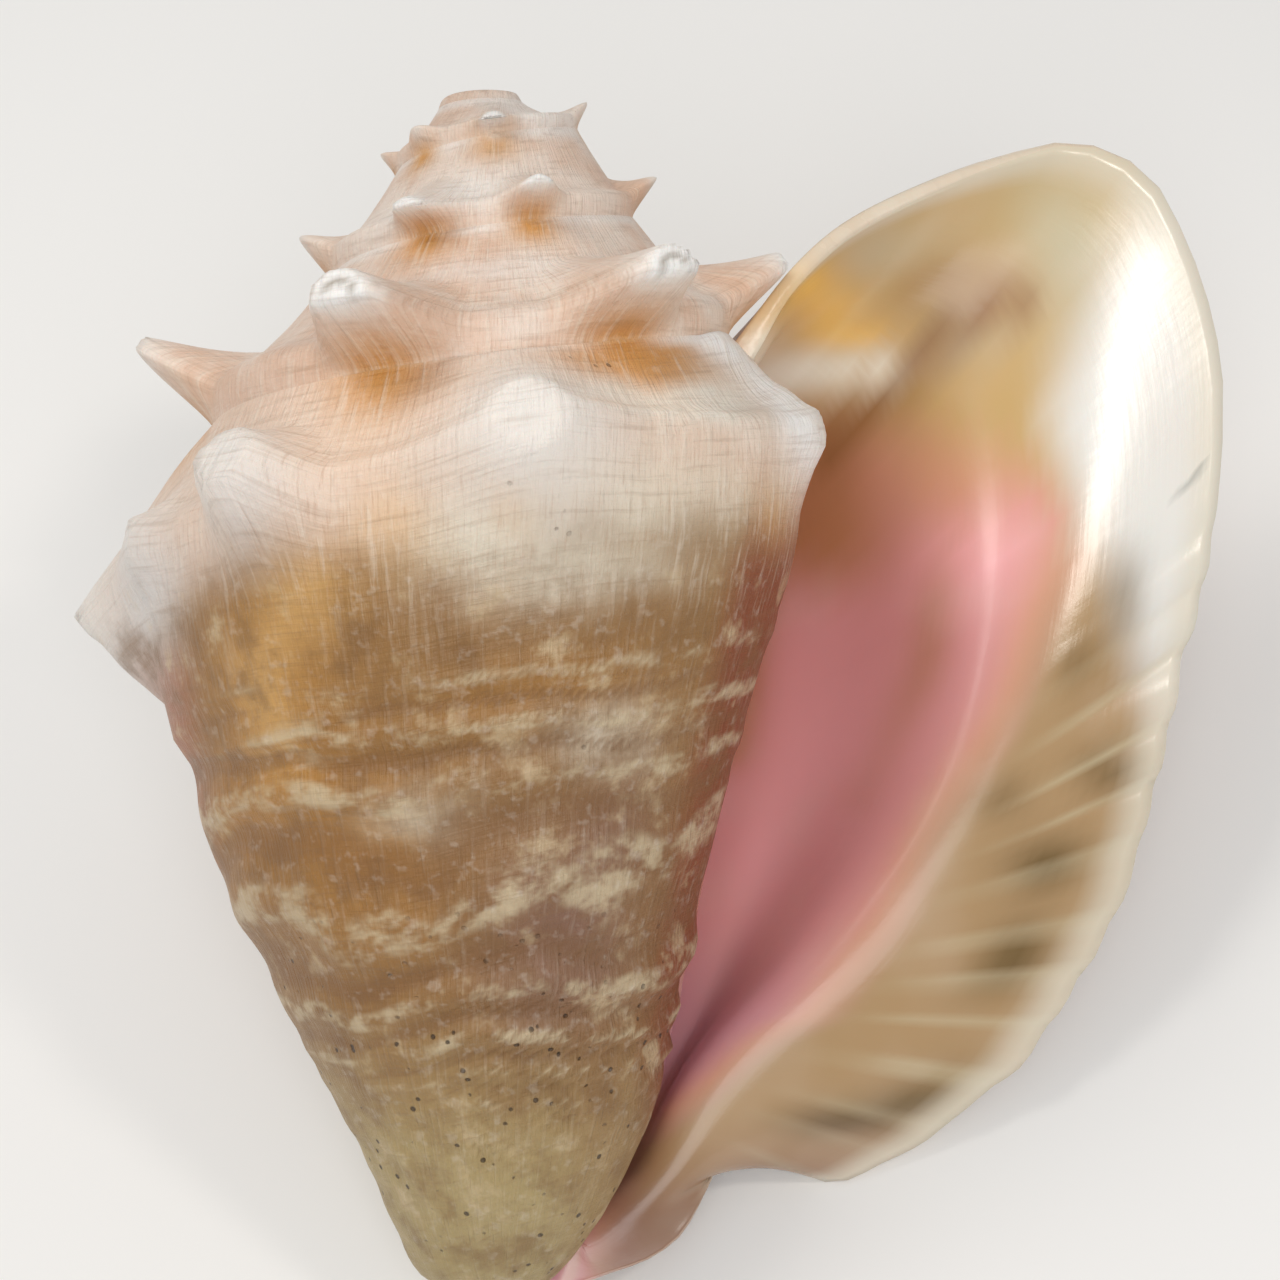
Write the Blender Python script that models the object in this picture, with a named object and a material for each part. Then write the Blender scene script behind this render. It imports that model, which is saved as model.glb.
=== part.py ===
"""A large conch shell with a flared lip, as one grown and closed body, laid on its back as it rests."""
import math

import bpy
import numpy as np
from mathutils import Matrix, Vector

MM = 0.001
WHORL_COLUMNS = 35            # columns of the grid over the part of each turn that is coiled
LIP_COLUMNS = 13              # and over the rest of the turn, where the last one opens out
BARE_ROWS = 10
FLANK_ROWS = 17
RESTING_PLANE = (0.099, -0.536, -0.839)   # down, once laid on its back: normal of the plane it rests on
SHELL_COLOUR = (0.62, 0.42, 0.30, 1.0)

# All lengths below are in millimetres, in the shell's own frame: the axis of the spire is Z with the apex up,
# X runs to the lip, Y away from the side with the opening. Turns count from the apex to the lip's edge.
TURNS = 5.0
APEX_HEIGHT = 229.0
LIP_START = 35 / 48           # share of the last turn after which the whorl opens out into the lip
HOLLOW_TURNS = 0.75           # how far in the hollow goes
WALL = 4.5
LIP_WALL = 3.2
SHOULDER_SHARE = 0.16         # share of a whorl's profile above its shoulder
CALLUS_SHARE = 0.03           # share of the profile over which the lip is joined to the whorl before
HORN_POWER = 1.25

# turn, radius and height of the shoulder between its spines
SHOULDER = np.array([
    (0.0, 0.3, 229.0), (0.06, 3.5, 229.0), (0.15, 6.5, 229.0), (0.3, 9.3, 228.9), (0.5, 11.5, 228.7),
    (0.75, 13.0, 227.8), (1.0, 14.5, 225.5),
    (1.5, 20.0, 217.0), (2.0, 25.5, 210.0), (2.5, 32.5, 198.5), (3.0, 43.0, 190.0), (3.5, 54.0, 173.0),
    (4.0, 57.0, 166.0), (4.25, 61.0, 160.5), (4.3, 60.5, 156.0), (4.355, 63.0, 152.5), (4.42, 64.0, 147.5),
    (4.5, 68.0, 142.0), (4.75, 75.0, 136.0), (5.0, 80.0, 132.0),
])

# share of the way from shoulder to tip, share of the shoulder radius up to turn 4, and from turn 4.5 on
FLANK = np.array([
    (0.0, 1.0, 1.0), (0.09, 0.995, 0.985), (0.18, 0.94, 0.945), (0.275, 0.855, 0.865), (0.365, 0.785, 0.81),
    (0.465, 0.705, 0.745), (0.56, 0.65, 0.635), (0.64, 0.60, 0.545), (0.73, 0.54, 0.46), (0.82, 0.45, 0.345),
    (0.89, 0.33, 0.29), (0.95, 0.19, 0.22), (1.0, 0.0, 0.0),
])

# share of the profile, then x, y, z of the hollow's mouth behind the lip
THROAT = np.array([
    (0.0, 30, 30, 176), (0.05, 37, 44, 180), (0.12, 46, 56, 172), (0.20, 54, 58, 154), (0.30, 59, 52, 128),
    (0.45, 56, 45, 96), (0.60, 46, 37, 66), (0.75, 34, 27, 38), (0.88, 21, 16, 19), (1.0, 0, 0, 0),
])

# the same for the line where the lip rolls outward
ROLL = np.array([
    (0.0, 42, 14, 184), (0.05, 54, 26, 194), (0.12, 70, 33, 199), (0.20, 88, 33, 190), (0.30, 99, 26, 163),
    (0.45, 93, 14, 111), (0.60, 72, 9, 72), (0.75, 46, 8, 44), (0.88, 29, 6, 21), (1.0, 0, 0, 0),
])

# x, y, z along the lip's free edge, from the spire round the wing and the notch to the tip
LIP_EDGE = np.array([
    (44.5, 0, 185.5), (54.5, 5, 197.5), (63.4, 10, 206.4), (83.9, 18, 218.2), (98.5, 23, 224), (111.2, 27, 227.2),
    (121.7, 29, 225.4), (130, 30, 219.5), (136, 30, 208.4), (141, 30, 194.2), (143.3, 29, 180), (143.1, 28, 169.7),
    (141.6, 26, 155.5), (138.7, 24, 141.3), (134.3, 22.5, 125.3), (129.8, 20, 107.5), (125.6, 19, 91.6),
    (119.5, 18, 74), (107.6, 18, 54.2), (99.7, 18, 43.3), (90, 19, 36.2), (82.2, 20, 29.5), (74.2, 20, 25.6),
    (66.3, 20, 22.5), (59.3, 19, 25), (52.3, 18, 26.5), (44.3, 16, 27), (40, 13, 24), (37.5, 10, 18.5),
    (34, 6, 13), (28, 4, 9), (19, 2, 6), (0, 0, 0),
])

# turn, radius and height of the tip, radius of the foot, share of the foot's radius that is worn or sawn flat
SPINES = [
    (1.0, 18.5, 229, 5.5, 0.15), (1.25, 20, 221, 6.0, 0.34), (1.375, 22, 220.5, 5.0, 0.15),
    (1.5, 24, 218.5, 5.0, 0.15), (1.6875, 26, 219, 5.5, 0.1), (1.8333, 28, 216, 5.5, 0.1),
    (2.0, 31, 214.5, 7, 0.15), (2.2083, 36, 206.5, 7, 0.36), (2.3125, 38, 202, 7.5, 0.36),
    (2.5, 39, 202.8, 8.5, 0.16), (2.6667, 44, 202, 8, 0.12), (2.8333, 49, 199, 9, 0.15),
    (3.0, 55, 197.5, 13, 0.32), (3.1667, 65.5, 188.5, 13, 0.36), (3.3042, 68, 183, 13, 0.38),
    (3.5, 69, 182.5, 13.5, 0.2), (3.6667, 71, 178, 13, 0.16), (3.8, 70, 178, 11, 0.16),
    (4.0417, 62, 166, 15, 0.15), (4.2292, 70, 164, 22, 0.26), (4.3542, 71, 158, 14, 0.42),
    (4.4583, 69.5, 145, 13, 0.3), (4.5208, 82, 130, 24, 0.12), (4.6458, 88, 140, 22, 0.15),
    (4.7708, 94, 140, 24, 0.15), (4.875, 96, 138, 24, 0.15),
]


def steepness(knots, values):
    """Slope at each knot of the parabola through it and its two neighbours, along the second to last
    axis."""
    step = np.diff(knots)[:, None]
    rise = np.diff(values, axis=-2) / step
    slope = np.empty_like(values)
    across = step[1:] + step[:-1]
    slope[..., 1:-1, :] = (rise[..., :-1, :] * step[1:] + rise[..., 1:, :] * step[:-1]) / across
    slope[..., 0, :] = rise[..., 0, :]
    slope[..., -1, :] = rise[..., -1, :]
    return slope


def hermite(step, share, low, low_slope, high, high_slope):
    """The cubic that leaves low with low_slope and comes to high with high_slope, share of the way along
    step."""
    cube, square = share**3, share**2
    return ((2 * cube - 3 * square + 1) * low + (cube - 2 * square + share) * step * low_slope
            + (3 * square - 2 * cube) * high + (cube - square) * step * high_slope)


def read_curve(table, at):
    """Reads a table of knots and values as one smooth curve, at each place in at."""
    knots, values = table[:, 0], np.asarray(table[:, 1:], float)
    at = np.clip(np.asarray(at, float), knots[0], knots[-1])
    slope = steepness(knots, values)
    k = np.clip(np.searchsorted(knots, at, side="right") - 1, 0, len(knots) - 2)
    step = np.diff(knots)[k][..., None]
    share = (at - knots[k])[..., None] / step
    return hermite(step, share, values[k], slope[k], values[k + 1], slope[k + 1])


def read_rows(knots, values, slope, at):
    """As read_curve, with its own values [n, knot, c] in each row and at [n, m]."""
    k = np.clip(np.searchsorted(knots, at, side="right") - 1, 0, len(knots) - 2)
    row = np.arange(len(values))[:, None]
    step = np.diff(knots)[k][..., None]
    share = (at - knots[k])[..., None] / step
    return hermite(step, share, values[row, k], slope[row, k], values[row, k + 1], slope[row, k + 1])


def ease(x, low, high):
    """0 below low, 1 above high, and the smooth step 3t^2 - 2t^3 between."""
    t = np.clip((np.asarray(x, float) - low) / (high - low), 0.0, 1.0)
    return t * t * (3 - 2 * t)


def bare_share(turn):
    """Share of a whorl's profile that the next whorl leaves bare: to just under the shoulder, and where
    the lip begins the suture climbs over the shoulder on to the ramp."""
    shoulder = read_curve(SHOULDER, turn)
    under = SHOULDER_SHARE + (1 - SHOULDER_SHARE) * 0.12 * shoulder[:, 0] / shoulder[:, 1]
    climb = ease(turn, 3.80, 3.98)
    return under * (1 - climb) + 0.012 * climb + 0.348 * ease(turn, 4.02, 4.35)


def flank_radius(turn, height, shoulder):
    """Radius of the flank under the shoulder: a cone with the table's curve, over a slim pillar round the
    axis."""
    reach = 1.75 + (shoulder[:, 1] / shoulder[:, 0] - 1.75) * ease(turn, 3.6, 4.02)
    down = (shoulder[:, 1:2] - height) / (reach * shoulder[:, 0])[:, None]
    both = read_curve(FLANK, np.clip(down, 0, 1))
    share = both[..., 0] + (both[..., 1] - both[..., 0]) * ease(turn, 4.05, 4.5)[:, None]
    cone = np.clip(shoulder[:, :1] * share, 0, None)
    pillar = 13.0 * np.sqrt(height / (height + 12.0))
    return (cone**5 + pillar**5) ** 0.2


def profile(turn, seam, share):
    """Radius and height of the whorl at each turn, from its upper seam over the hollow ramp and the
    shoulder and down the flank to the tip, at the given shares of that way."""
    shoulder = read_curve(SHOULDER, turn)
    down = np.array([0.05, 0.11, 0.20, 0.31, 0.43, 0.55, 0.67, 0.79, 0.89, 0.955, 0.985, 1.0])
    flank_height = shoulder[:, 1:2] * (1 - down)
    flank = flank_radius(turn, flank_height, shoulder)
    flank[:, -1] = 0.0
    ramp = np.array([0.0, 0.33, 0.68])
    sag = 1 - (1 - ramp) ** 1.35
    ramp_radius = seam[:, :1] + (shoulder[:, :1] - seam[:, :1]) * ramp
    ramp_height = seam[:, 1:] + (shoulder[:, 1:] - seam[:, 1:]) * sag
    radius = np.hstack([ramp_radius, shoulder[:, :1], flank])
    height = np.hstack([ramp_height, shoulder[:, 1:], flank_height])
    knots = np.concatenate([SHOULDER_SHARE * ramp, [SHOULDER_SHARE],
                            SHOULDER_SHARE + (1 - SHOULDER_SHARE) * down])
    values = np.stack([radius, height], axis=-1)
    return read_rows(knots, values, steepness(knots, values), share)


def coil(turn, section):
    """Turns (radius, height) round the axis: x = r cos a, y = r sin a, with a = -360 degrees times the
    turn."""
    angle = -2 * math.pi * np.asarray(turn)[:, None]
    radius, height = section[..., 0], section[..., 1]
    return np.stack([radius * np.cos(angle), radius * np.sin(angle), height], axis=-1)


def lip_surface(open_share, share, start, slope):
    """The flared lip: cubics over four rails, which are the whorl's last section, the throat, the roll
    and the free edge, leaving the whorl with its own slope."""
    run = np.concatenate([[0.0], np.cumsum(np.linalg.norm(np.diff(LIP_EDGE, axis=0), axis=1))])
    edge = read_curve(np.column_stack([run / run[-1], LIP_EDGE]), share)
    rails = np.stack([start, read_curve(THROAT, share), read_curve(ROLL, share), edge], axis=-2)
    knots = np.array([0.0, 0.36, 0.70, 1.0])
    slopes = steepness(knots, rails)
    slopes[..., 0, :] = slope
    k = np.clip(np.searchsorted(knots, open_share, side="right") - 1, 0, 2)[:, None]
    k = k + np.zeros(share.shape, int)
    row, column = np.indices(share.shape)
    step = np.diff(knots)[k][..., None]
    part = (open_share[:, None] - knots[k])[..., None] / step
    return hermite(step, part, rails[row, column, k], slopes[row, column, k],
                   rails[row, column, k + 1], slopes[row, column, k + 1])


def outward(grid):
    """Unit normals of a grid of points, from its two directions."""
    normal = np.cross(np.gradient(grid, axis=0), np.gradient(grid, axis=1))
    return normal / np.maximum(np.linalg.norm(normal, axis=-1, keepdims=True), 1e-9)


def raise_spines(grids):
    """Carries each grid along each spine's axis, (1 - d/foot)^1.25 of the way to the tip's level with the
    top cut flat, where d is the distance from the axis past the nearest point, so the tip reaches its
    place."""
    for turn, tip_radius, tip_height, foot, flat in SPINES:
        shoulder = read_curve(SHOULDER, np.array([turn]))[0]
        away = np.array([math.cos(2 * math.pi * turn), -math.sin(2 * math.pi * turn), 0.0])
        base = away * shoulder[0] + np.array([0, 0, shoulder[1]])
        reach = away * tip_radius + np.array([0, 0, tip_height]) - base
        length = np.linalg.norm(reach)
        way = reach / length
        kept = (1 - flat) ** HORN_POWER
        offs = []
        for grid, turns, _ in grids:
            gap = grid - base
            off = np.linalg.norm(gap - (gap @ way)[..., None] * way, axis=-1) / foot
            near = (np.linalg.norm(gap, axis=-1) < 1.5 * foot) & (abs(turns - turn) < 0.3)[:, None]
            offs.append(np.where(near, off, 2.0))
        nearest = min(off.min() for off in offs)
        for (grid, _, share), off in zip(grids, offs):
            horn = np.minimum(np.clip(1 - off + nearest, 0, 1) ** HORN_POWER, kept) / kept
            grid += ((horn * length - horn ** 4 * ((grid - base) @ way)) * share)[..., None] * way


def grow_shell(whorl_columns, lip_columns, bare_rows, flank_rows):
    """The shell as four grids: the bare whorls, the last whorl's flank with the lip, the wall that the
    hollow shares with the whorl before, and the lip's and last whorl's inner face, one wall's thickness
    in."""
    columns = whorl_columns + lip_columns
    turn_part = np.concatenate([np.linspace(0, LIP_START, whorl_columns, endpoint=False),
                                np.linspace(LIP_START, 1, lip_columns, endpoint=False)])
    turn = np.concatenate([whole + turn_part for whole in range(int(TURNS))] + [[TURNS]])
    last = len(turn) - 1
    first = last - columns
    deep = int(round(lip_columns + whorl_columns * (1 - (1 - HOLLOW_TURNS) / LIP_START)))

    bare = bare_share(turn)
    seam = np.tile([0.0, APEX_HEIGHT], (last + 1, 1))
    for whole in range(1, int(TURNS) + 1):
        now = np.arange(whole * columns, min((whole + 1) * columns, last + 1))
        before = now - columns
        seam[now] = profile(turn[before], seam[before], bare[before][:, None])[:, 0]

    ramp_rows = int(round(0.7 * bare_rows))
    middle = np.minimum(SHOULDER_SHARE, 0.86 * bare)[:, None]
    top_share = np.hstack([middle * np.linspace(0, 1, ramp_rows + 1)[:-1],
                           middle + (bare[:, None] - middle) * np.linspace(0, 1, bare_rows - ramp_rows + 1)])
    top = coil(turn, profile(turn, seam, top_share))

    def flank_share(which, end):
        start = (bare[which] + CALLUS_SHARE)[:, None]
        down = start + (end[:, None] - start) * np.linspace(0, 1, flank_rows) ** 1.2
        return np.hstack([bare[which][:, None], down])

    body = np.arange(first, last + 1)
    body_share = flank_share(body, np.ones(len(body)))
    low = coil(turn[body], profile(turn[body], seam[body], body_share))

    lip = np.arange(last - lip_columns, last + 1)
    lip_share = np.hstack([top_share[lip], body_share[lip - first][:, 1:]])
    open_share = (turn[lip] - turn[lip[0]]) / (1 - LIP_START)
    small = 1e-3
    at_start = np.full(len(lip), turn[lip[0]])
    start_seam = np.tile(seam[lip[0]], (len(lip), 1))
    start = coil(at_start, profile(at_start, start_seam, lip_share))
    before = coil(at_start - small, profile(at_start - small, start_seam, lip_share))
    flare = lip_surface(open_share, lip_share, start, (start - before) / small * (1 - LIP_START))
    seam_path = coil(turn[lip], seam[lip][:, None, :])
    flare = flare + (seam_path - flare[:, :1]) * (1 - ease(lip_share, 0.0, 0.05))[..., None]
    top[lip] = flare[:, :bare_rows + 1]
    low[lip - first] = flare[:, bare_rows:]

    shared = np.arange(first - deep, first + 1)
    lift = np.interp(turn[shared], [3.2, 3.5, 3.75, 3.9, 3.97, 4.0], [62, 46, 32, 21, 10, 0])
    shoulder = read_curve(SHOULDER, turn[shared])
    end = SHOULDER_SHARE + (1 - SHOULDER_SHARE) * (1 - lift / shoulder[:, 1])
    shared_share = flank_share(shared, end)
    pillar = coil(turn[shared], profile(turn[shared], seam[shared], shared_share))

    hollow = np.arange(last - deep, last + 1)
    outer = np.concatenate([top[hollow], low[hollow - first][:, 1:]], axis=1)
    thin = ease((turn[hollow] - turn[lip[0]]) / (1 - LIP_START), 0.5, 1.0)
    wall = WALL + (LIP_WALL - WALL) * thin[:, None, None]
    inner = outer - outward(outer) * wall
    pace = np.linalg.norm(np.diff(outer, axis=1), axis=-1)
    run = np.concatenate([np.zeros((len(hollow), 1)), np.cumsum(pace, axis=1)], axis=1)
    inner += (pillar[:, 1:2] - inner[:, :1]) * (1 - ease(run, 0, 16))[..., None]
    inner += (pillar[:, -1:] - inner[:, -1:]) * (1 - ease(run[:, -1:] - run, 0, 22))[..., None]

    fade = ease(top_share, np.minimum(SHOULDER_SHARE, 0.84 * bare)[:, None], bare[:, None])
    fade[turn >= TURNS - 1] = 0.0
    raise_spines([(top, turn, 1 - fade), (low, turn[body], np.ones(low.shape[:2]))])
    return {"turn": turn, "first": first, "last": last, "deep": deep, "columns": columns,
            "top": top, "low": low, "pillar": pillar, "inner": inner}


def knit_shell(shell):
    """Joins the grids into one closed sheet: each whorl's last bare row is the next whorl's first, all
    flanks meet in the tip, the lip's two faces meet along its edge, and a fan closes the deep end of the
    hollow."""
    columns, first, last, deep = shell["columns"], shell["first"], shell["last"], shell["deep"]
    bare_rows, flank_rows = shell["top"].shape[1] - 1, shell["low"].shape[1] - 1
    points = [np.array([(0.0, 0.0, APEX_HEIGHT), (0.0, 0.0, 0.0)])]
    apex, tip = 0, 1

    def number(grid):
        start = sum(len(block) for block in points)
        points.append(grid.reshape(-1, 3))
        return start + np.arange(grid.shape[0] * grid.shape[1]).reshape(grid.shape[:2])

    top = np.full((last + 1, bare_rows + 1), apex)
    top[1:, 1:] = number(shell["top"][1:, 1:])
    for column in range(columns + 1, last + 1):
        top[column, 0] = top[column - columns, bare_rows]
    low = np.full((columns + 1, flank_rows + 1), tip)
    low[:, 1:-1] = number(shell["low"][:, 1:-1])
    low[:, 0] = top[first:, bare_rows]
    pillar = np.empty((deep + 1, flank_rows + 1), int)
    pillar[:-1, 1:] = number(shell["pillar"][:-1, 1:])
    pillar[-1] = low[0]
    inner = np.empty((deep + 1, bare_rows + flank_rows + 1), int)
    inner[:, 1:-1] = number(shell["inner"][:, 1:-1])
    inner[:, 0] = pillar[:, 1]
    inner[:, -1] = pillar[:, -1]
    edge = np.stack([np.concatenate([top[last], low[-1][1:]]), inner[-1]])

    faces = []
    for sheet in (top, low, pillar[:, 1:], inner[::-1], edge):
        corners = [sheet[:-1, :-1], sheet[1:, :-1], sheet[1:, 1:], sheet[:-1, 1:]]
        faces.append(np.stack(corners, axis=-1).reshape(-1, 4))
    loop = np.concatenate([inner[0], pillar[0, 2:-1][::-1]])
    middle = np.concatenate(points)[loop].mean(axis=0)
    hub = number(middle.reshape(1, 1, 3))[0, 0]
    hubs = np.full(len(loop), hub)
    faces.append(np.stack([np.roll(loop, -1), loop, hubs, hubs], axis=-1))
    return np.concatenate(points), np.concatenate(faces)


def drop_doubles(faces):
    """Leaves out each corner that repeats the one before it, so that pinched quads become triangles."""
    kept = []
    for face in faces.tolist():
        corners = [corner for place, corner in enumerate(face) if corner != face[place - 1]]
        if len(corners) > 2:
            kept.append(corners)
    return kept


def lay_down(points):
    """Lays the shell on its back, as it rests: the opening up, the apex to +Y, the lip to +X, then the
    short turn that brings the plane of its three resting places level."""
    laid = np.stack([points[:, 0], points[:, 2], -points[:, 1]], axis=1)
    level = Vector(RESTING_PLANE).rotation_difference(Vector((0.0, 0.0, -1.0))).to_matrix()
    return laid @ np.array(level).T


for thing in list(bpy.data.objects):
    bpy.data.objects.remove(thing, do_unlink=True)

points, faces = knit_shell(grow_shell(WHORL_COLUMNS, LIP_COLUMNS, BARE_ROWS, FLANK_ROWS))
laid = lay_down(points) * MM
lowest, highest = laid.min(axis=0), laid.max(axis=0)
middle = (lowest + highest) / 2
laid -= np.array([middle[0], middle[1], lowest[2]])

mesh = bpy.data.meshes.new("conch_shell")
mesh.from_pydata(laid.tolist(), [], drop_doubles(faces))
mesh.shade_smooth()
shell = bpy.data.objects.new("conch_shell", mesh)
bpy.context.scene.collection.objects.link(shell)

chalk = bpy.data.materials.new("shell_chalk")
chalk.use_nodes = True
surface = chalk.node_tree.nodes["Principled BSDF"]
surface.inputs["Base Color"].default_value = SHELL_COLOUR
surface.inputs["Roughness"].default_value = 0.45
surface.inputs["Metallic"].default_value = 0.0
mesh.materials.append(chalk)
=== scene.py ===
"""The conch shell as photographed: lying on its back on a pale floor, seen from above its tip end."""
import math

import bpy
import numpy as np
from mathutils import Matrix, Vector


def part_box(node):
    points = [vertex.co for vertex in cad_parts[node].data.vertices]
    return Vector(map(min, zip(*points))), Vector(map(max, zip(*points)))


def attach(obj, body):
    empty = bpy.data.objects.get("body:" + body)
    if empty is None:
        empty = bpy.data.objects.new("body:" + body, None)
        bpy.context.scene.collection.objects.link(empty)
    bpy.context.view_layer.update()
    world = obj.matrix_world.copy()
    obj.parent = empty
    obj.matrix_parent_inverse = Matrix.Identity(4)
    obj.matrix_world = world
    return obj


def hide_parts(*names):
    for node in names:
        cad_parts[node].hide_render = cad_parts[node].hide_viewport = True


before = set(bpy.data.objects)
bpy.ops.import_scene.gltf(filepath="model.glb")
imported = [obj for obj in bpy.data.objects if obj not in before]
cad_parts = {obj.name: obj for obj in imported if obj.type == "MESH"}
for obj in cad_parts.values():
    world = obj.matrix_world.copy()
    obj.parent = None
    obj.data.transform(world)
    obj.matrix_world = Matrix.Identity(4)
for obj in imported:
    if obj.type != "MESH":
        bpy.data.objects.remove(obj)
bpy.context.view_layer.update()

MM = 0.001
WHORL_COLUMNS = 150           # columns of the grid over the part of each turn that is coiled
LIP_COLUMNS = 64              # and over the rest of the turn, where the last one opens out
BARE_ROWS = 34
FLANK_ROWS = 84
RIM_ROWS = 6
RESTING_PLANE = (0.099, -0.536, -0.839)   # down, once laid on its back: normal of the plane it rests on
CAMERA_PLACE = (0.0266, 0.1273, 0.450)    # metres over the shell on its back, before that plane is level
CAMERA_LENS = 66.6
SENSOR_WIDTH = 36.0
FLOOR_SIZE = 6.0

# All lengths below are in millimetres, in the shell's own frame: the axis of the spire is Z with the apex up,
# X runs to the lip, Y away from the side with the opening. Turns count from the apex to the lip's edge.
TURNS = 5.0
APEX_HEIGHT = 229.0
LIP_START = 35 / 48           # share of the last turn after which the whorl opens out into the lip
HOLLOW_TURNS = 0.75           # how far in the hollow goes
WALL = 4.5
LIP_WALL = 3.2
SHOULDER_SHARE = 0.16         # share of a whorl's profile above its shoulder
CALLUS_SHARE = 0.03           # share of the profile over which the lip is joined to the whorl before
HORN_POWER = 1.25
PROFILE_LENGTH = 170.0        # the way down a profile, near enough, on the faces where it isn't measured
GIRTH = 377.0                 # the way round the last whorl, for the growth lines
SIDE_GAP = 50.0               # keeps the lines of the two faces apart

# turn, radius and height of the shoulder between its spines
SHOULDER = np.array([
    (0.0, 0.3, 229.0), (0.06, 3.5, 229.0), (0.15, 6.5, 229.0), (0.3, 9.3, 228.9), (0.5, 11.5, 228.7),
    (0.75, 13.0, 227.8), (1.0, 14.5, 225.5),
    (1.5, 20.0, 217.0), (2.0, 25.5, 210.0), (2.5, 32.5, 198.5), (3.0, 43.0, 190.0), (3.5, 54.0, 173.0),
    (4.0, 57.0, 166.0), (4.25, 61.0, 160.5), (4.3, 60.5, 156.0), (4.355, 63.0, 152.5), (4.42, 64.0, 147.5),
    (4.5, 68.0, 142.0), (4.75, 75.0, 136.0), (5.0, 80.0, 132.0),
])

# share of the way from shoulder to tip, share of the shoulder radius up to turn 4, and from turn 4.5 on
FLANK = np.array([
    (0.0, 1.0, 1.0), (0.09, 0.995, 0.985), (0.18, 0.94, 0.945), (0.275, 0.855, 0.865), (0.365, 0.785, 0.81),
    (0.465, 0.705, 0.745), (0.56, 0.65, 0.635), (0.64, 0.60, 0.545), (0.73, 0.54, 0.46), (0.82, 0.45, 0.345),
    (0.89, 0.33, 0.29), (0.95, 0.19, 0.22), (1.0, 0.0, 0.0),
])

# share of the profile, then x, y, z of the hollow's mouth behind the lip
THROAT = np.array([
    (0.0, 30, 30, 176), (0.05, 37, 44, 180), (0.12, 46, 56, 172), (0.20, 54, 58, 154), (0.30, 59, 52, 128),
    (0.45, 56, 45, 96), (0.60, 46, 37, 66), (0.75, 34, 27, 38), (0.88, 21, 16, 19), (1.0, 0, 0, 0),
])

# the same for the line where the lip rolls outward
ROLL = np.array([
    (0.0, 42, 14, 184), (0.05, 54, 26, 194), (0.12, 70, 33, 199), (0.20, 88, 33, 190), (0.30, 99, 26, 163),
    (0.45, 93, 14, 111), (0.60, 72, 9, 72), (0.75, 46, 8, 44), (0.88, 29, 6, 21), (1.0, 0, 0, 0),
])

# x, y, z along the lip's free edge, from the spire round the wing and the notch to the tip
LIP_EDGE = np.array([
    (44.5, 0, 185.5), (54.5, 5, 197.5), (63.4, 10, 206.4), (83.9, 18, 218.2), (98.5, 23, 224),
    (111.2, 27, 227.2), (121.7, 29, 225.4), (130, 30, 219.5), (136, 30, 208.4), (141, 30, 194.2),
    (143.3, 29, 180), (143.1, 28, 169.7),
    (141.6, 26, 155.5), (138.7, 24, 141.3), (134.3, 22.5, 125.3), (129.8, 20, 107.5), (125.6, 19, 91.6),
    (119.5, 18, 74), (107.6, 18, 54.2), (99.7, 18, 43.3), (90, 19, 36.2), (82.2, 20, 29.5), (74.2, 20, 25.6),
    (66.3, 20, 22.5), (59.3, 19, 25), (52.3, 18, 26.5), (44.3, 16, 27), (40, 13, 24), (37.5, 10, 18.5),
    (34, 6, 13), (28, 4, 9), (19, 2, 6), (0, 0, 0),
])

# turn, radius and height of the tip, radius of the foot, share of the foot's radius that is worn or sawn flat
SPINES = [
    (1.0, 18.5, 229, 5.5, 0.15), (1.25, 20, 221, 6.0, 0.34), (1.375, 22, 220.5, 5.0, 0.15),
    (1.5, 24, 218.5, 5.0, 0.15), (1.6875, 26, 219, 5.5, 0.1), (1.8333, 28, 216, 5.5, 0.1),
    (2.0, 31, 214.5, 7, 0.15), (2.2083, 36, 206.5, 7, 0.36), (2.3125, 38, 202, 7.5, 0.36),
    (2.5, 39, 202.8, 8.5, 0.16), (2.6667, 44, 202, 8, 0.12), (2.8333, 49, 199, 9, 0.15),
    (3.0, 55, 197.5, 13, 0.32), (3.1667, 65.5, 188.5, 13, 0.36), (3.3042, 68, 183, 13, 0.38),
    (3.5, 69, 182.5, 13.5, 0.2), (3.6667, 71, 178, 13, 0.16), (3.8, 70, 178, 11, 0.16),
    (4.0417, 62, 166, 15, 0.15), (4.2292, 70, 164, 22, 0.26), (4.3542, 71, 158, 14, 0.42),
    (4.4583, 69.5, 145, 13, 0.3), (4.5208, 82, 130, 24, 0.12), (4.6458, 88, 140, 22, 0.15),
    (4.7708, 94, 140, 24, 0.15), (4.875, 96, 138, 24, 0.15),
]


def steepness(knots, values):
    """Slope at each knot of the parabola through it and its two neighbours.
    The knots lie along the second to last axis."""
    step = np.diff(knots)[:, None]
    rise = np.diff(values, axis=-2) / step
    slope = np.empty_like(values)
    across = step[1:] + step[:-1]
    slope[..., 1:-1, :] = (rise[..., :-1, :] * step[1:] + rise[..., 1:, :] * step[:-1]) / across
    slope[..., 0, :] = rise[..., 0, :]
    slope[..., -1, :] = rise[..., -1, :]
    return slope


def hermite(step, share, low, low_slope, high, high_slope):
    """The cubic that leaves low with low_slope and comes to high with high_slope,
    share of the way along step."""
    cube, square = share**3, share**2
    return ((2 * cube - 3 * square + 1) * low + (cube - 2 * square + share) * step * low_slope
            + (3 * square - 2 * cube) * high + (cube - square) * step * high_slope)


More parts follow.
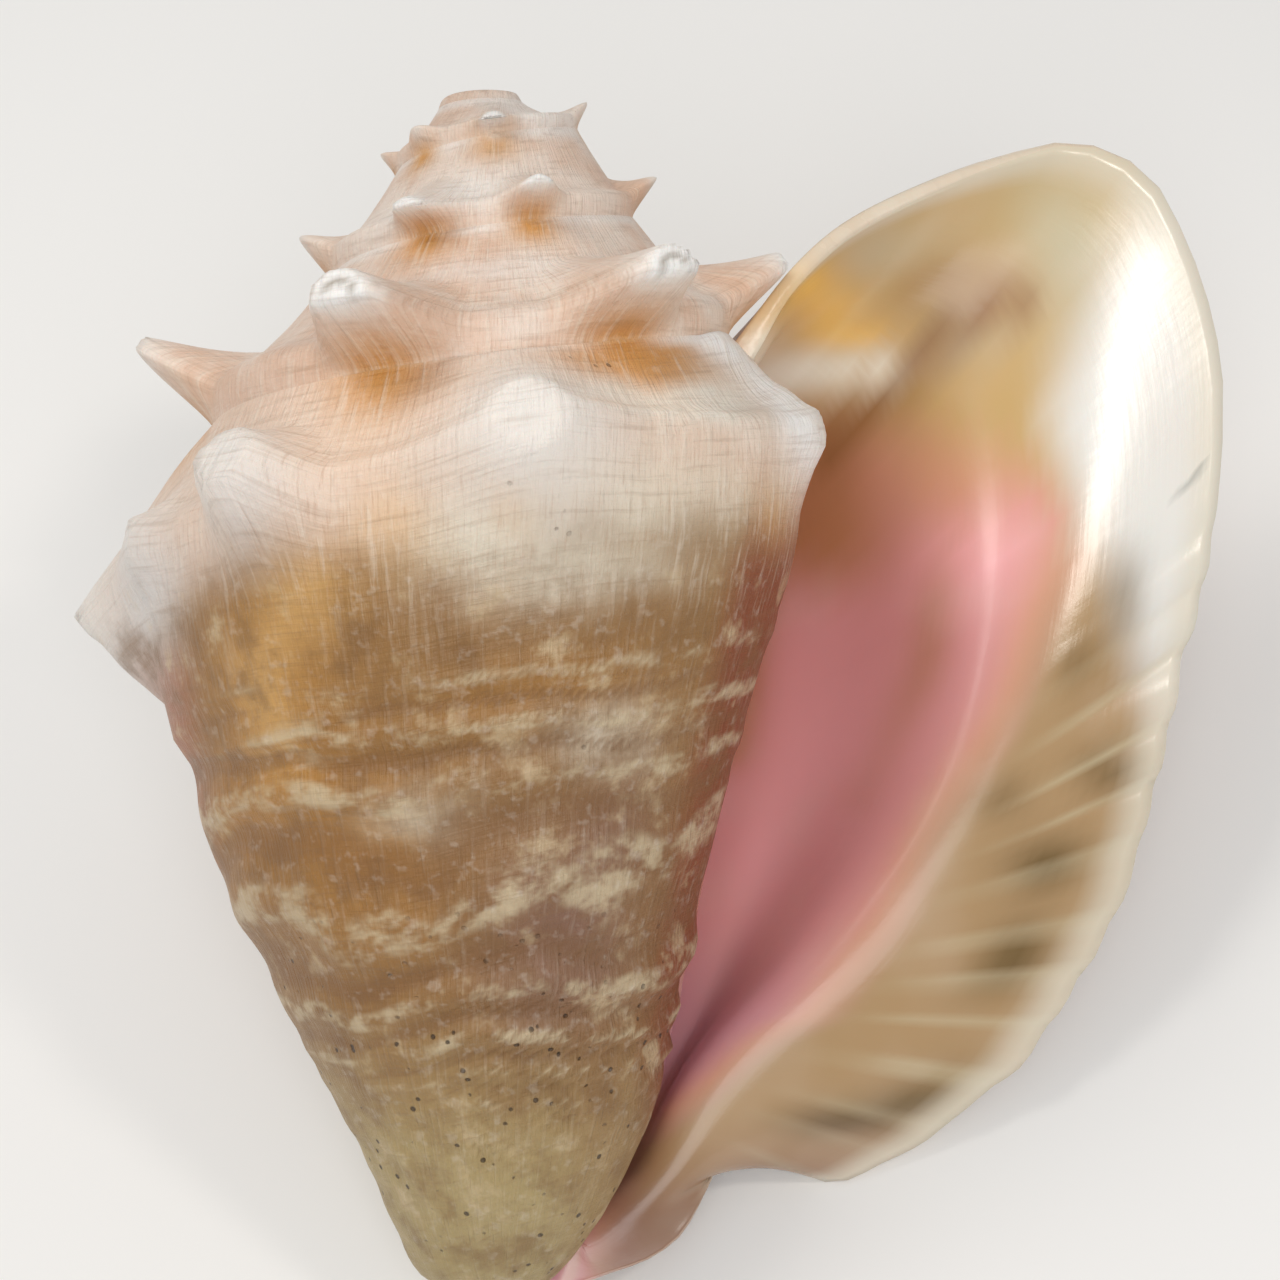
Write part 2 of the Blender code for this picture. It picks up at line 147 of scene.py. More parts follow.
def read_curve(table, at):
    """Reads a table of knots and values as one smooth curve, at each place in at."""
    knots, values = table[:, 0], np.asarray(table[:, 1:], float)
    at = np.clip(np.asarray(at, float), knots[0], knots[-1])
    slope = steepness(knots, values)
    k = np.clip(np.searchsorted(knots, at, side="right") - 1, 0, len(knots) - 2)
    step = np.diff(knots)[k][..., None]
    share = (at - knots[k])[..., None] / step
    return hermite(step, share, values[k], slope[k], values[k + 1], slope[k + 1])


def read_rows(knots, values, slope, at):
    """As read_curve, with its own values [n, knot, c] in each row and at [n, m]."""
    k = np.clip(np.searchsorted(knots, at, side="right") - 1, 0, len(knots) - 2)
    row = np.arange(len(values))[:, None]
    step = np.diff(knots)[k][..., None]
    share = (at - knots[k])[..., None] / step
    return hermite(step, share, values[row, k], slope[row, k], values[row, k + 1], slope[row, k + 1])


def ease(x, low, high):
    """0 below low, 1 above high, and the smooth step 3t^2 - 2t^3 between."""
    t = np.clip((np.asarray(x, float) - low) / (high - low), 0.0, 1.0)
    return t * t * (3 - 2 * t)


def bare_share(turn):
    """Share of a whorl's profile that the next whorl leaves bare: to just under the shoulder, and where
    the lip begins the suture climbs over the shoulder on to the ramp."""
    shoulder = read_curve(SHOULDER, turn)
    under = SHOULDER_SHARE + (1 - SHOULDER_SHARE) * 0.12 * shoulder[:, 0] / shoulder[:, 1]
    climb = ease(turn, 3.80, 3.98)
    return under * (1 - climb) + 0.012 * climb + 0.348 * ease(turn, 4.02, 4.35)


def flank_radius(turn, height, shoulder):
    """Radius of the flank under the shoulder: a cone with the table's curve, over a slim pillar
    round the axis."""
    reach = 1.75 + (shoulder[:, 1] / shoulder[:, 0] - 1.75) * ease(turn, 3.6, 4.02)
    down = (shoulder[:, 1:2] - height) / (reach * shoulder[:, 0])[:, None]
    both = read_curve(FLANK, np.clip(down, 0, 1))
    share = both[..., 0] + (both[..., 1] - both[..., 0]) * ease(turn, 4.05, 4.5)[:, None]
    cone = np.clip(shoulder[:, :1] * share, 0, None)
    pillar = 13.0 * np.sqrt(height / (height + 12.0))
    return (cone**5 + pillar**5) ** 0.2


def profile(turn, seam, share):
    """Radius and height of the whorl at each turn, from its upper seam over the hollow ramp and the
    shoulder and down the flank to the tip, at the given shares of that way."""
    shoulder = read_curve(SHOULDER, turn)
    down = np.array([0.05, 0.11, 0.20, 0.31, 0.43, 0.55, 0.67, 0.79, 0.89, 0.955, 0.985, 1.0])
    flank_height = shoulder[:, 1:2] * (1 - down)
    flank = flank_radius(turn, flank_height, shoulder)
    flank[:, -1] = 0.0
    ramp = np.array([0.0, 0.33, 0.68])
    sag = 1 - (1 - ramp) ** 1.35
    ramp_radius = seam[:, :1] + (shoulder[:, :1] - seam[:, :1]) * ramp
    ramp_height = seam[:, 1:] + (shoulder[:, 1:] - seam[:, 1:]) * sag
    radius = np.hstack([ramp_radius, shoulder[:, :1], flank])
    height = np.hstack([ramp_height, shoulder[:, 1:], flank_height])
    knots = np.concatenate([SHOULDER_SHARE * ramp, [SHOULDER_SHARE],
                            SHOULDER_SHARE + (1 - SHOULDER_SHARE) * down])
    values = np.stack([radius, height], axis=-1)
    return read_rows(knots, values, steepness(knots, values), share)


def coil(turn, section):
    """Turns (radius, height) round the axis: x = r cos a, y = r sin a,
    with a = -360 degrees times the turn."""
    angle = -2 * math.pi * np.asarray(turn)[:, None]
    radius, height = section[..., 0], section[..., 1]
    return np.stack([radius * np.cos(angle), radius * np.sin(angle), height], axis=-1)


def lip_surface(open_share, share, start, slope):
    """The flared lip: cubics over four rails, which are the whorl's last section, the throat, the roll
    and the free edge, leaving the whorl with its own slope."""
    run = np.concatenate([[0.0], np.cumsum(np.linalg.norm(np.diff(LIP_EDGE, axis=0), axis=1))])
    edge = read_curve(np.column_stack([run / run[-1], LIP_EDGE]), share)
    rails = np.stack([start, read_curve(THROAT, share), read_curve(ROLL, share), edge], axis=-2)
    knots = np.array([0.0, 0.36, 0.70, 1.0])
    slopes = steepness(knots, rails)
    slopes[..., 0, :] = slope
    k = np.clip(np.searchsorted(knots, open_share, side="right") - 1, 0, 2)[:, None]
    k = k + np.zeros(share.shape, int)
    row, column = np.indices(share.shape)
    step = np.diff(knots)[k][..., None]
    part = (open_share[:, None] - knots[k])[..., None] / step
    return hermite(step, part, rails[row, column, k], slopes[row, column, k],
                   rails[row, column, k + 1], slopes[row, column, k + 1])


def outward(grid):
    """Unit normals of a grid of points, from its two directions."""
    normal = np.cross(np.gradient(grid, axis=0), np.gradient(grid, axis=1))
    return normal / np.maximum(np.linalg.norm(normal, axis=-1, keepdims=True), 1e-9)


def raise_spines(grids):
    """Carries each grid along each spine's axis, (1 - d/foot)^1.25 of the way to the tip's level with
    the top cut flat. d is the distance from the axis past the nearest point, so the tip reaches its
    place."""
    for turn, tip_radius, tip_height, foot, flat in SPINES:
        shoulder = read_curve(SHOULDER, np.array([turn]))[0]
        away = np.array([math.cos(2 * math.pi * turn), -math.sin(2 * math.pi * turn), 0.0])
        base = away * shoulder[0] + np.array([0, 0, shoulder[1]])
        reach = away * tip_radius + np.array([0, 0, tip_height]) - base
        length = np.linalg.norm(reach)
        way = reach / length
        kept = (1 - flat) ** HORN_POWER
        offs = []
        for grid, turns, _ in grids:
            gap = grid - base
            off = np.linalg.norm(gap - (gap @ way)[..., None] * way, axis=-1) / foot
            near = (np.linalg.norm(gap, axis=-1) < 1.5 * foot) & (abs(turns - turn) < 0.3)[:, None]
            offs.append(np.where(near, off, 2.0))
        nearest = min(off.min() for off in offs)
        for (grid, _, share), off in zip(grids, offs):
            horn = np.minimum(np.clip(1 - off + nearest, 0, 1) ** HORN_POWER, kept) / kept
            grid += ((horn * length - horn ** 4 * ((grid - base) @ way)) * share)[..., None] * way


def wave_noise(a, b, seed):
    """A smooth wander between -1 and 1 over two coordinates: six sines at set, unrelated slants."""
    total = np.zeros(np.broadcast(a, b).shape)
    for n in range(6):
        slant = seed * 1.7 + n * 2.399
        pace = 1.0 + 0.55 * n
        along = a * math.cos(slant) + b * math.sin(slant)
        total += np.sin(pace * along + seed * 5.1 + n * n) / (1 + 0.5 * n)
    return total / 2.6


def patch(x, z, middle_x, middle_z, reach_x, reach_z, slant=0.0):
    """1 in the middle of a slanted ellipse and falling off smoothly to 0 at twice its reach."""
    angle = math.radians(slant)
    across = ((x - middle_x) * math.cos(angle) + (z - middle_z) * math.sin(angle)) / reach_x
    along = (-(x - middle_x) * math.sin(angle) + (z - middle_z) * math.cos(angle)) / reach_z
    return np.exp(-(across**2 + along**2))


def band(x, z, path, reach):
    """1 on a path of (x, z) points and falling off smoothly over reach on either side."""
    nearest = np.full(x.shape, 1e9)
    for (x0, z0), (x1, z1) in zip(path[:-1], path[1:]):
        dx, dz = x1 - x0, z1 - z0
        t = np.clip(((x - x0) * dx + (z - z0) * dz) / (dx * dx + dz * dz), 0, 1)
        nearest = np.minimum(nearest, np.hypot(x - x0 - t * dx, z - z0 - t * dz))
    return np.exp(-(nearest / reach) ** 2)


def ridge_wave(x, z):
    """The body's ridges from -1 in a groove to 1 on a crest: level and wavy down the middle of the flank,
    8.6 mm apart and closer further down, and broken, slanted ones 6 mm apart near the tip."""
    wander = wave_noise(x / 16, z / 30, 1.0)
    pitch = 8.6 - 2.6 * ease(z, 110, 50)
    level = np.sin(2 * math.pi * (z + 3.2 * wander + 1.6 * wave_noise(x / 6, z / 10, 5.0) - 0.09 * x) / pitch)
    slant = np.sin(2 * math.pi * (z * 0.80 + x * 0.55 + 4.5 * wave_noise(x / 8, z / 8, 2.0)) / 6.0)
    slant = slant * (0.4 + 0.6 * wave_noise(x / 5, z / 5, 14.0))
    middle = ease(z, 34, 60) * (1 - ease(z, 126, 146))
    low = (1 - ease(z, 38, 62)) * ease(z, 2, 10)
    return middle * level + 0.7 * low * slant


def ridged(turn, share):
    """1 where the last whorl's flank carries its ridges, 0 over its shoulder and on the spire."""
    return ease(share, SHOULDER_SHARE + 0.10, SHOULDER_SHARE + 0.26) * ease(turn, 3.9, 4.02)


def body_relief(turn, share, place):
    """How far the outer surface stands out of the smooth whorl: the ridges, low swellings, and the white
    rib of callus that runs from the suture to the last knob beside the mouth."""
    x, z = place[..., 0], place[..., 2]
    flank = ridged(turn, share) * (0.5 + 0.5 * wave_noise(x / 20, z / 14, 6.0))
    swell = wave_noise(x / 8, z / 8, 3.0) + 0.4 * wave_noise(x / 3.4, z / 3.4, 16.0)
    rib = band(x, z, [(40, 181), (47, 178), (54, 169), (57, 164)], 3.0)
    rib = rib * ease(turn, 3.90, 3.97) * (1 - ease(turn, 4.08, 4.14))
    varix = band(x, z, [(50, 172), (46, 158), (43, 140), (40, 120)], 2.0)
    varix = varix * ease(turn, 3.96, 4.0) * (1 - ease(turn, 4.3, 4.4))
    return 1.3 * flank * ridge_wave(x, z) + 0.32 * swell * ease(share, 0.02, 0.08) + 1.8 * rib + 0.9 * varix


def scallop_wave(share):
    """The scallops along the lip's edge: 31 uneven waves to the whole profile."""
    return np.sin(2 * math.pi * (share * 31 + 0.10 * np.sin(share * 57)))


def lip_relief(open_share, share):
    """Depth of the lip's folds: soft scallops along the lower edge that fade inward, in millimetres."""
    lower = ease(share, 0.40, 0.50) * (1 - ease(share, 0.70, 0.78))
    folds = scallop_wave(share) + 0.5 * np.sin(2 * math.pi * share * 13.0)
    return 0.55 * folds * lower * ease(open_share, 0.72, 1.0)


def grow_shell(whorl_columns, lip_columns, bare_rows, flank_rows):
    """The shell as grids with the values its colours need: bare whorls, last flank with lip, the wall
    shared with the whorl before, the inner face and the rounded rim between the two faces of the lip."""
    columns = whorl_columns + lip_columns
    turn_part = np.concatenate([np.linspace(0, LIP_START, whorl_columns, endpoint=False),
                                np.linspace(LIP_START, 1, lip_columns, endpoint=False)])
    turn = np.concatenate([whole + turn_part for whole in range(int(TURNS))] + [[TURNS]])
    last = len(turn) - 1
    first = last - columns
    deep = int(round(lip_columns + whorl_columns * (1 - (1 - HOLLOW_TURNS) / LIP_START)))

    bare = bare_share(turn)
    seam = np.tile([0.0, APEX_HEIGHT], (last + 1, 1))
    for whole in range(1, int(TURNS) + 1):
        now = np.arange(whole * columns, min((whole + 1) * columns, last + 1))
        before = now - columns
        seam[now] = profile(turn[before], seam[before], bare[before][:, None])[:, 0]

    ramp_rows = int(round(0.7 * bare_rows))
    middle = np.minimum(SHOULDER_SHARE, 0.86 * bare)[:, None]
    top_share = np.hstack([middle * np.linspace(0, 1, ramp_rows + 1)[:-1],
                           middle + (bare[:, None] - middle) * np.linspace(0, 1, bare_rows - ramp_rows + 1)])
    top = coil(turn, profile(turn, seam, top_share))

    def flank_share(which, end):
        start = (bare[which] + CALLUS_SHARE)[:, None]
        down = start + (end[:, None] - start) * np.linspace(0, 1, flank_rows) ** 1.2
        return np.hstack([bare[which][:, None], down])

    body = np.arange(first, last + 1)
    body_share = flank_share(body, np.ones(len(body)))
    low = coil(turn[body], profile(turn[body], seam[body], body_share))

    lip = np.arange(last - lip_columns, last + 1)
    lip_share = np.hstack([top_share[lip], body_share[lip - first][:, 1:]])
    open_share = (turn[lip] - turn[lip[0]]) / (1 - LIP_START)
    small = 1e-3
    at_start = np.full(len(lip), turn[lip[0]])
    start_seam = np.tile(seam[lip[0]], (len(lip), 1))
    start = coil(at_start, profile(at_start, start_seam, lip_share))
    before = coil(at_start - small, profile(at_start - small, start_seam, lip_share))
    flare = lip_surface(open_share, lip_share, start, (start - before) / small * (1 - LIP_START))
    seam_path = coil(turn[lip], seam[lip][:, None, :])
    flare = flare + (seam_path - flare[:, :1]) * (1 - ease(lip_share, 0.0, 0.05))[..., None]
    flare = flare + outward(flare) * lip_relief(open_share[:, None], lip_share)[..., None]
    top[lip] = flare[:, :bare_rows + 1]
    low[lip - first] = flare[:, bare_rows:]

    shared = np.arange(first - deep, first + 1)
    lift = np.interp(turn[shared], [3.2, 3.5, 3.75, 3.9, 3.97, 4.0], [62, 46, 32, 21, 10, 0])
    shoulder = read_curve(SHOULDER, turn[shared])
    end = SHOULDER_SHARE + (1 - SHOULDER_SHARE) * (1 - lift / shoulder[:, 1])
    shared_share = flank_share(shared, end)
    pillar = coil(turn[shared], profile(turn[shared], seam[shared], shared_share))

    hollow = np.arange(last - deep, last + 1)
    outer = np.concatenate([top[hollow], low[hollow - first][:, 1:]], axis=1)
    thin = ease((turn[hollow] - turn[lip[0]]) / (1 - LIP_START), 0.5, 1.0)
    wall = WALL + (LIP_WALL - WALL) * thin[:, None, None]
    inner = outer - outward(outer) * wall
    pace = np.linalg.norm(np.diff(outer, axis=1), axis=-1)
    run = np.concatenate([np.zeros((len(hollow), 1)), np.cumsum(pace, axis=1)], axis=1)
    inner += (pillar[:, 1:2] - inner[:, :1]) * (1 - ease(run, 0, 16))[..., None]
    inner += (pillar[:, -1:] - inner[:, -1:]) * (1 - ease(run[:, -1:] - run, 0, 22))[..., None]

    whole = np.concatenate([top[body], low[:, 1:]], axis=1)
    whole_share = np.hstack([top_share[body], body_share[:, 1:]])
    pace = np.linalg.norm(np.diff(whole, axis=1), axis=-1)
    down = np.concatenate([np.zeros((len(body), 1)), np.cumsum(pace, axis=1)], axis=1)
    rise = body_relief(turn[body][:, None], whole_share, whole)
    rise *= (1 - ease(turn[body], 4.80, 4.97))[:, None]
    whole += outward(whole) * rise[..., None]
    spire_pace = np.linalg.norm(np.diff(top, axis=1), axis=-1)
    spire_down = np.concatenate([np.zeros((len(turn), 1)), np.cumsum(spire_pace, axis=1)], axis=1)
    spire_rise = body_relief(turn[:, None], top_share, top) * ease(turn, 0.2, 1.5)[:, None]
    top[:first] += (outward(top) * spire_rise[..., None])[:first]
    top[body] = whole[:, :bare_rows + 1]
    low = whole[:, bare_rows:]

    fade = ease(top_share, np.minimum(SHOULDER_SHARE, 0.84 * bare)[:, None], bare[:, None])
    fade[turn >= TURNS - 1] = 0.0
    raise_spines([(top, turn, 1 - fade), (low, turn[body], np.ones(low.shape[:2]))])

    round_off = np.linspace(0, 1, RIM_ROWS + 1)[:, None, None]
    edge_out = np.concatenate([top[last], low[-1][1:]])
    edge_back = np.concatenate([top[last - 1], low[-2][1:]])
    away = edge_out - edge_back
    away /= np.maximum(np.linalg.norm(away, axis=-1, keepdims=True), 1e-9)
    bulge = 0.18 * LIP_WALL * np.sin(math.pi * round_off) * ease(lip_share[-1], 0.0, 0.03)[:, None]
    bulge = bulge * (1 - ease(lip_share[-1], 0.95, 1.0))[:, None]
    rim = edge_out + (inner[-1] - edge_out) * round_off + away * bulge
    rim_share = np.tile(lip_share[-1], (RIM_ROWS + 1, 1))
    inner_share = np.concatenate([top_share[hollow], body_share[hollow - first][:, 1:]], axis=1)

    return {"turn": turn, "first": first, "last": last, "deep": deep, "columns": columns,
            "top": top, "low": low, "pillar": pillar, "inner": inner, "rim": rim,
            "top_share": top_share, "low_share": body_share, "pillar_share": shared_share,
            "inner_share": inner_share, "rim_share": rim_share, "top_down": spire_down,
            "low_down": down[:, bare_rows:], "shared": shared, "hollow": hollow, "body": body}


def knit_shell(shell):
    """Joins the grids into one closed sheet: each whorl's last bare row is the next whorl's first, all
    flanks meet in the tip, the lip's faces meet over its rounded rim, and a fan closes the deep end of
    the hollow. Gives points, faces and, corner by corner, the values that the colours read."""
    columns, first, last, deep = shell["columns"], shell["first"], shell["last"], shell["deep"]
    bare_rows, flank_rows = shell["top"].shape[1] - 1, shell["low"].shape[1] - 1
    turn = shell["turn"]
    points = [np.array([(0.0, 0.0, APEX_HEIGHT), (0.0, 0.0, 0.0)])]
    apex, tip = 0, 1

    def number(grid):
        start = sum(len(block) for block in points)
        points.append(grid.reshape(-1, 3))
        return start + np.arange(grid.shape[0] * grid.shape[1]).reshape(grid.shape[:2])

    top = np.full((last + 1, bare_rows + 1), apex)
    top[1:, 1:] = number(shell["top"][1:, 1:])
    for column in range(columns + 1, last + 1):
        top[column, 0] = top[column - columns, bare_rows]
    low = np.full((columns + 1, flank_rows + 1), tip)
    low[:, 1:-1] = number(shell["low"][:, 1:-1])
    low[:, 0] = top[first:, bare_rows]
    pillar = np.empty((deep + 1, flank_rows + 1), int)
    pillar[:-1, 1:] = number(shell["pillar"][:-1, 1:])
    pillar[-1] = low[0]
    inner = np.empty((deep + 1, bare_rows + flank_rows + 1), int)
    inner[:, 1:-1] = number(shell["inner"][:, 1:-1])
    inner[:, 0] = pillar[:, 1]
    inner[:, -1] = pillar[:, -1]
    rim = np.empty((RIM_ROWS + 1, inner.shape[1]), int)
    rim[0] = np.concatenate([top[last], low[-1][1:]])
    rim[-1] = inner[-1]
    rim[1:-1, :-1] = number(shell["rim"][1:-1, :-1])
    rim[1:-1, -1] = tip

    def fields(grid, turns, share, down, side):
        """Per point: turn, share of the profile, way down the profile, side (0 out, 1 in, 0.5 rim)
        and place."""
        turns = np.broadcast_to(turns, share.shape)
        flat = np.stack([turns, share, down, np.full(share.shape, side)], axis=-1)
        return np.concatenate([flat, grid], axis=-1)

    inner_down = shell["inner_share"] * PROFILE_LENGTH
    sheets = [
        (top, fields(shell["top"], turn[:, None], shell["top_share"], shell["top_down"], 0.0)),
        (low, fields(shell["low"], turn[shell["body"]][:, None], shell["low_share"], shell["low_down"], 0.0)),
        (pillar[:, 1:], fields(shell["pillar"], turn[shell["shared"]][:, None], shell["pillar_share"],
                               shell["pillar_share"] * PROFILE_LENGTH, 1.0)[:, 1:]),
        (inner[::-1], fields(shell["inner"], turn[shell["hollow"]][:, None], shell["inner_share"],
                             inner_down, 1.0)[::-1]),
        (rim, fields(shell["rim"], np.full((RIM_ROWS + 1, 1), TURNS), shell["rim_share"],
                     shell["rim_share"] * PROFILE_LENGTH, 0.5)),
    ]
    faces, values = [], []
    for ids, field in sheets:
        for source, into in (ids, faces), (field, values):
            corners = [source[:-1, :-1], source[1:, :-1], source[1:, 1:], source[:-1, 1:]]
            into.append(np.stack(corners, axis=2).reshape((-1, 4) + source.shape[2:]))
    loop = np.concatenate([inner[0], pillar[0, 2:-1][::-1]])
    middle = np.concatenate(points)[loop].mean(axis=0)
    hub = number(middle.reshape(1, 1, 3))[0, 0]
    hubs = np.full(len(loop), hub)
    faces.append(np.stack([np.roll(loop, -1), loop, hubs, hubs], axis=-1))
    cap = np.concatenate([[turn[shell["hollow"][0]], 0.5, 80.0, 1.0], middle])
    values.append(np.tile(cap, (len(loop), 4, 1)))
    return np.concatenate(points), np.concatenate(faces), np.concatenate(values)


def lay_down(points):
    """Lays the shell on its back, as it rests: the opening up, the apex to +Y, the lip to +X, then the
    short turn that brings the plane of its three resting places level."""
    laid = np.stack([points[:, 0], points[:, 2], -points[:, 1]], axis=1)
    level = Vector(RESTING_PLANE).rotation_difference(Vector((0.0, 0.0, -1.0))).to_matrix()
    return laid @ np.array(level).T


def colour_zones(field):
    """Shares, corner by corner, of each colour zone.
    x and z are millimetres across and along the shell in its own frame."""
    turn, share, down, side = field[..., 0], field[..., 1], field[..., 2], field[..., 3]
    x, y, z = field[..., 4], field[..., 5], field[..., 6]
    outside = side < 0.4
    inside = side > 0.9
    rough_x = x + 3.0 * wave_noise(x / 9, z / 9, 7.0) + 1.5 * wave_noise(x / 3.5, z / 3.5, 8.0)
    rough_z = z + 3.0 * wave_noise(x / 9, z / 9, 9.0) + 1.5 * wave_noise(x / 3.5, z / 3.5, 10.0)
    front = ease(-y, -4, 6)
    last = ease(turn, 3.93, 4.03)
    flank = ease(share, SHOULDER_SHARE, SHOULDER_SHARE + 0.10)
    zones = {}

    spine_white = np.zeros(x.shape)
    sawn = np.zeros(x.shape)
    sawn_ring = np.zeros(x.shape)
    under = np.zeros(x.shape)
    for spine_turn, tip_radius, tip_height, foot, flat in SPINES:
        angle = -2 * math.pi * spine_turn
        away = np.array([math.cos(angle), math.sin(angle), 0.0])
        base = read_curve(SHOULDER, np.array([spine_turn]))[0]
        root = away * base[0] + np.array([0, 0, base[1]])
        tip = away * tip_radius + np.array([0, 0, tip_height])
        way = (tip - root) / np.linalg.norm(tip - root)
        gap = field[..., 4:7] - tip
        depth = gap @ way
        off = np.linalg.norm(gap - depth[..., None] * way, axis=-1)
        big = 0.85 if spine_turn > 3.9 else 0.50
        spine_white = np.maximum(spine_white, np.exp(-(np.linalg.norm(gap, axis=-1) / (big * foot)) ** 2))
        if spine_turn < 3.9:
            end = ease(-depth, 3.2, 0.6) * ease(-off, -flat * foot - 1.2, -flat * foot + 0.3)
            if flat > 0.2:
                sawn = np.maximum(sawn, end)
                if foot > 10:
                    sawn_ring = np.maximum(sawn_ring, end * np.exp(-((off - 0.62 * flat * foot) / 0.6) ** 2))
            spot = away * (base[0] + 1) + np.array([0, 0, base[1] - 0.55 * foot])
            near = np.linalg.norm(field[..., 4:7] - spot, axis=-1)
            under = np.maximum(under, np.exp(-(near / (0.70 * foot)) ** 2))

    lip_back = outside * ease(turn, 4.74, 4.86)
    mouth_line = np.interp(z, [60, 100, 134, 160], [30, 37, 44, 50])
    zones["flank_tan"] = outside * last * flank
    zones["flank_gold"] = outside * last * flank * np.clip(
        patch(rough_x, rough_z, -36, 112, 12, 26) + 0.8 * patch(rough_x, rough_z, -18, 92, 10, 18)
        + 0.7 * patch(rough_x, rough_z, 10, 118, 16, 7) + 0.7 * patch(rough_x, rough_z, -46, 96, 8, 20), 0, 1)
    zones["flank_cream"] = outside * last * front * np.clip(
        patch(rough_x, rough_z, 28, 154, 20, 8) + patch(rough_x, rough_z, -2, 146, 12, 7)
        + 0.8 * patch(rough_x, rough_z, 18, 139, 14, 5) + 0.9 * patch(rough_x, rough_z, -22, 160, 15, 7)
        + 0.6 * patch(rough_x, rough_z, 18, 110, 9, 5) + 0.5 * patch(rough_x, rough_z, -12, 98, 8, 4), 0, 1)
    zones["flank_honey"] = outside * last * np.clip(
        front * (patch(rough_x, rough_z, -16, 149, 8, 8) + 0.6 * patch(rough_x, rough_z, -30, 134, 7, 8)
                 + 0.8 * patch(rough_x, rough_z, 49, 146, 5, 9) + 0.8 * patch(rough_x, rough_z, 6, 152, 4, 6)
                 + 0.9 * patch(rough_x, rough_z, 32, 164, 6, 3)
                 + 0.7 * patch(rough_x, rough_z, -38, 118, 7, 14)
                 + 0.7 * patch(rough_x, rough_z, -2, 158, 5, 4)
                 + 0.6 * patch(rough_x, rough_z, 50, 134, 4, 8)), 0, 1)
    zones["flank_dusk"] = outside * last * front * np.clip(
        patch(rough_x, rough_z, 12, 74, 14, 18, 10) + 0.6 * patch(rough_x, rough_z, 24, 94, 10, 14), 0, 1)
    zones["tip_olive"] = outside * last * (1 - ease(rough_z, 24, 66)) * (1 - 0.6 * ease(x, 8, 22))
    # along the left edge of the body: painted warm reflected light and painted shade
    low_left = ease(z, 30, 70) * (1 - ease(z, 118, 132))
    zones["left_edge_reflection_and_shade"] = outside * last * ease(-x, 46 + 0.02 * z, 60) * low_left
    below_knob = ease(z, 14, 34) * (1 - ease(z, 138, 156))
    zones["mouth_rust"] = outside * last * ease(x - mouth_line, -6, 2) * below_knob
    zones["ramp_pink"] = outside * last * (1 - flank) * 0.85
    zones["ramp_amber"] = outside * last * (1 - flank) * np.clip(
        patch(rough_x, rough_z, 22, 178, 15, 5, -8) + 0.8 * patch(rough_x, rough_z, 36, 176, 8, 5)
        + 0.5 * patch(rough_x, rough_z, -14, 170, 12, 4), 0, 1)
    zones["ramp_cream"] = outside * last * np.clip(patch(rough_x, rough_z, 26, 169, 16, 4, -8)
                                                  + patch(rough_x, rough_z, 42, 168, 9, 5), 0, 1)
    zones["spire_cream"] = outside * (1 - last) * np.clip(
        0.9 * patch(rough_x, rough_z, -8, 206, 13, 5, 15) + 0.8 * patch(rough_x, rough_z, 8, 224, 9, 4)
        + 0.5 * patch(rough_x, rough_z, 0, 190, 24, 3, 8), 0, 1)
    zones["suture_white"] = outside * (1 - ease(turn, 4.16, 4.3)) * np.exp(-((down - 0.8) / 1.5) ** 2) * 0.85
    zones["lip_back_tan"] = lip_back
    zones["under_amber"] = outside * under
    zones["spine_white"] = outside * spine_white
    zones["callus_white"] = outside * ease(turn, 3.9, 3.97) * band(
        x, z, [(40, 181), (47, 178), (54, 169), (58, 163)], 4.2)
    zones["knob_grey"] = outside * last * np.clip(
        patch(rough_x, rough_z, -64, 137, 9, 13, -20) + 0.6 * patch(rough_x, rough_z, -40, 152, 6, 9), 0, 1)
    zones["sawn_white"] = outside * sawn
    zones["sawn_ring"] = outside * sawn_ring

    u = np.clip((turn - TURNS + 1 - LIP_START) / (1 - LIP_START), 0, 1)
    lined = inside | (side == 0.5)
    lip = lined * ease(u, 0.12, 0.4)
    soft_x = x + 2.5 * wave_noise(x / 14, z / 14, 11.0)
    soft_z = z + 2.5 * wave_noise(x / 14, z / 14, 12.0)
    roll_x = np.interp(soft_z, [30, 43, 55, 75, 103, 127, 151, 170], [22, 42, 60, 74, 90, 101, 112, 112])
    beyond = lip * ease(soft_x - roll_x, -4, 8)
    white_x = np.interp(soft_z, [90, 110, 135, 151, 170, 190, 220], [136, 127, 119, 112, 106, 112, 128])
    # painted shade in the throat: along the body side, under the fold, near its top and deeper into the
    # hollow
    crease_painted_shade = np.clip(
        patch(soft_x, soft_z, 66, 158, 11, 12, -20)
        + 0.9 * band(soft_x, soft_z, [(58, 152), (51, 125), (46, 104)], 5.0)
        + 0.7 * band(soft_x, soft_z, [(88, 142), (80, 120), (68, 96)], 4.0)
        + 0.6 * ease(4.72 - turn, 0.0, 0.2), 0, 1)
    upper_painted_shade = ease(soft_z, 132, 150) * (1 - ease(soft_x, 66, 92))
    zones["throat_painted_shade"] = inside * np.maximum(crease_painted_shade, upper_painted_shade)
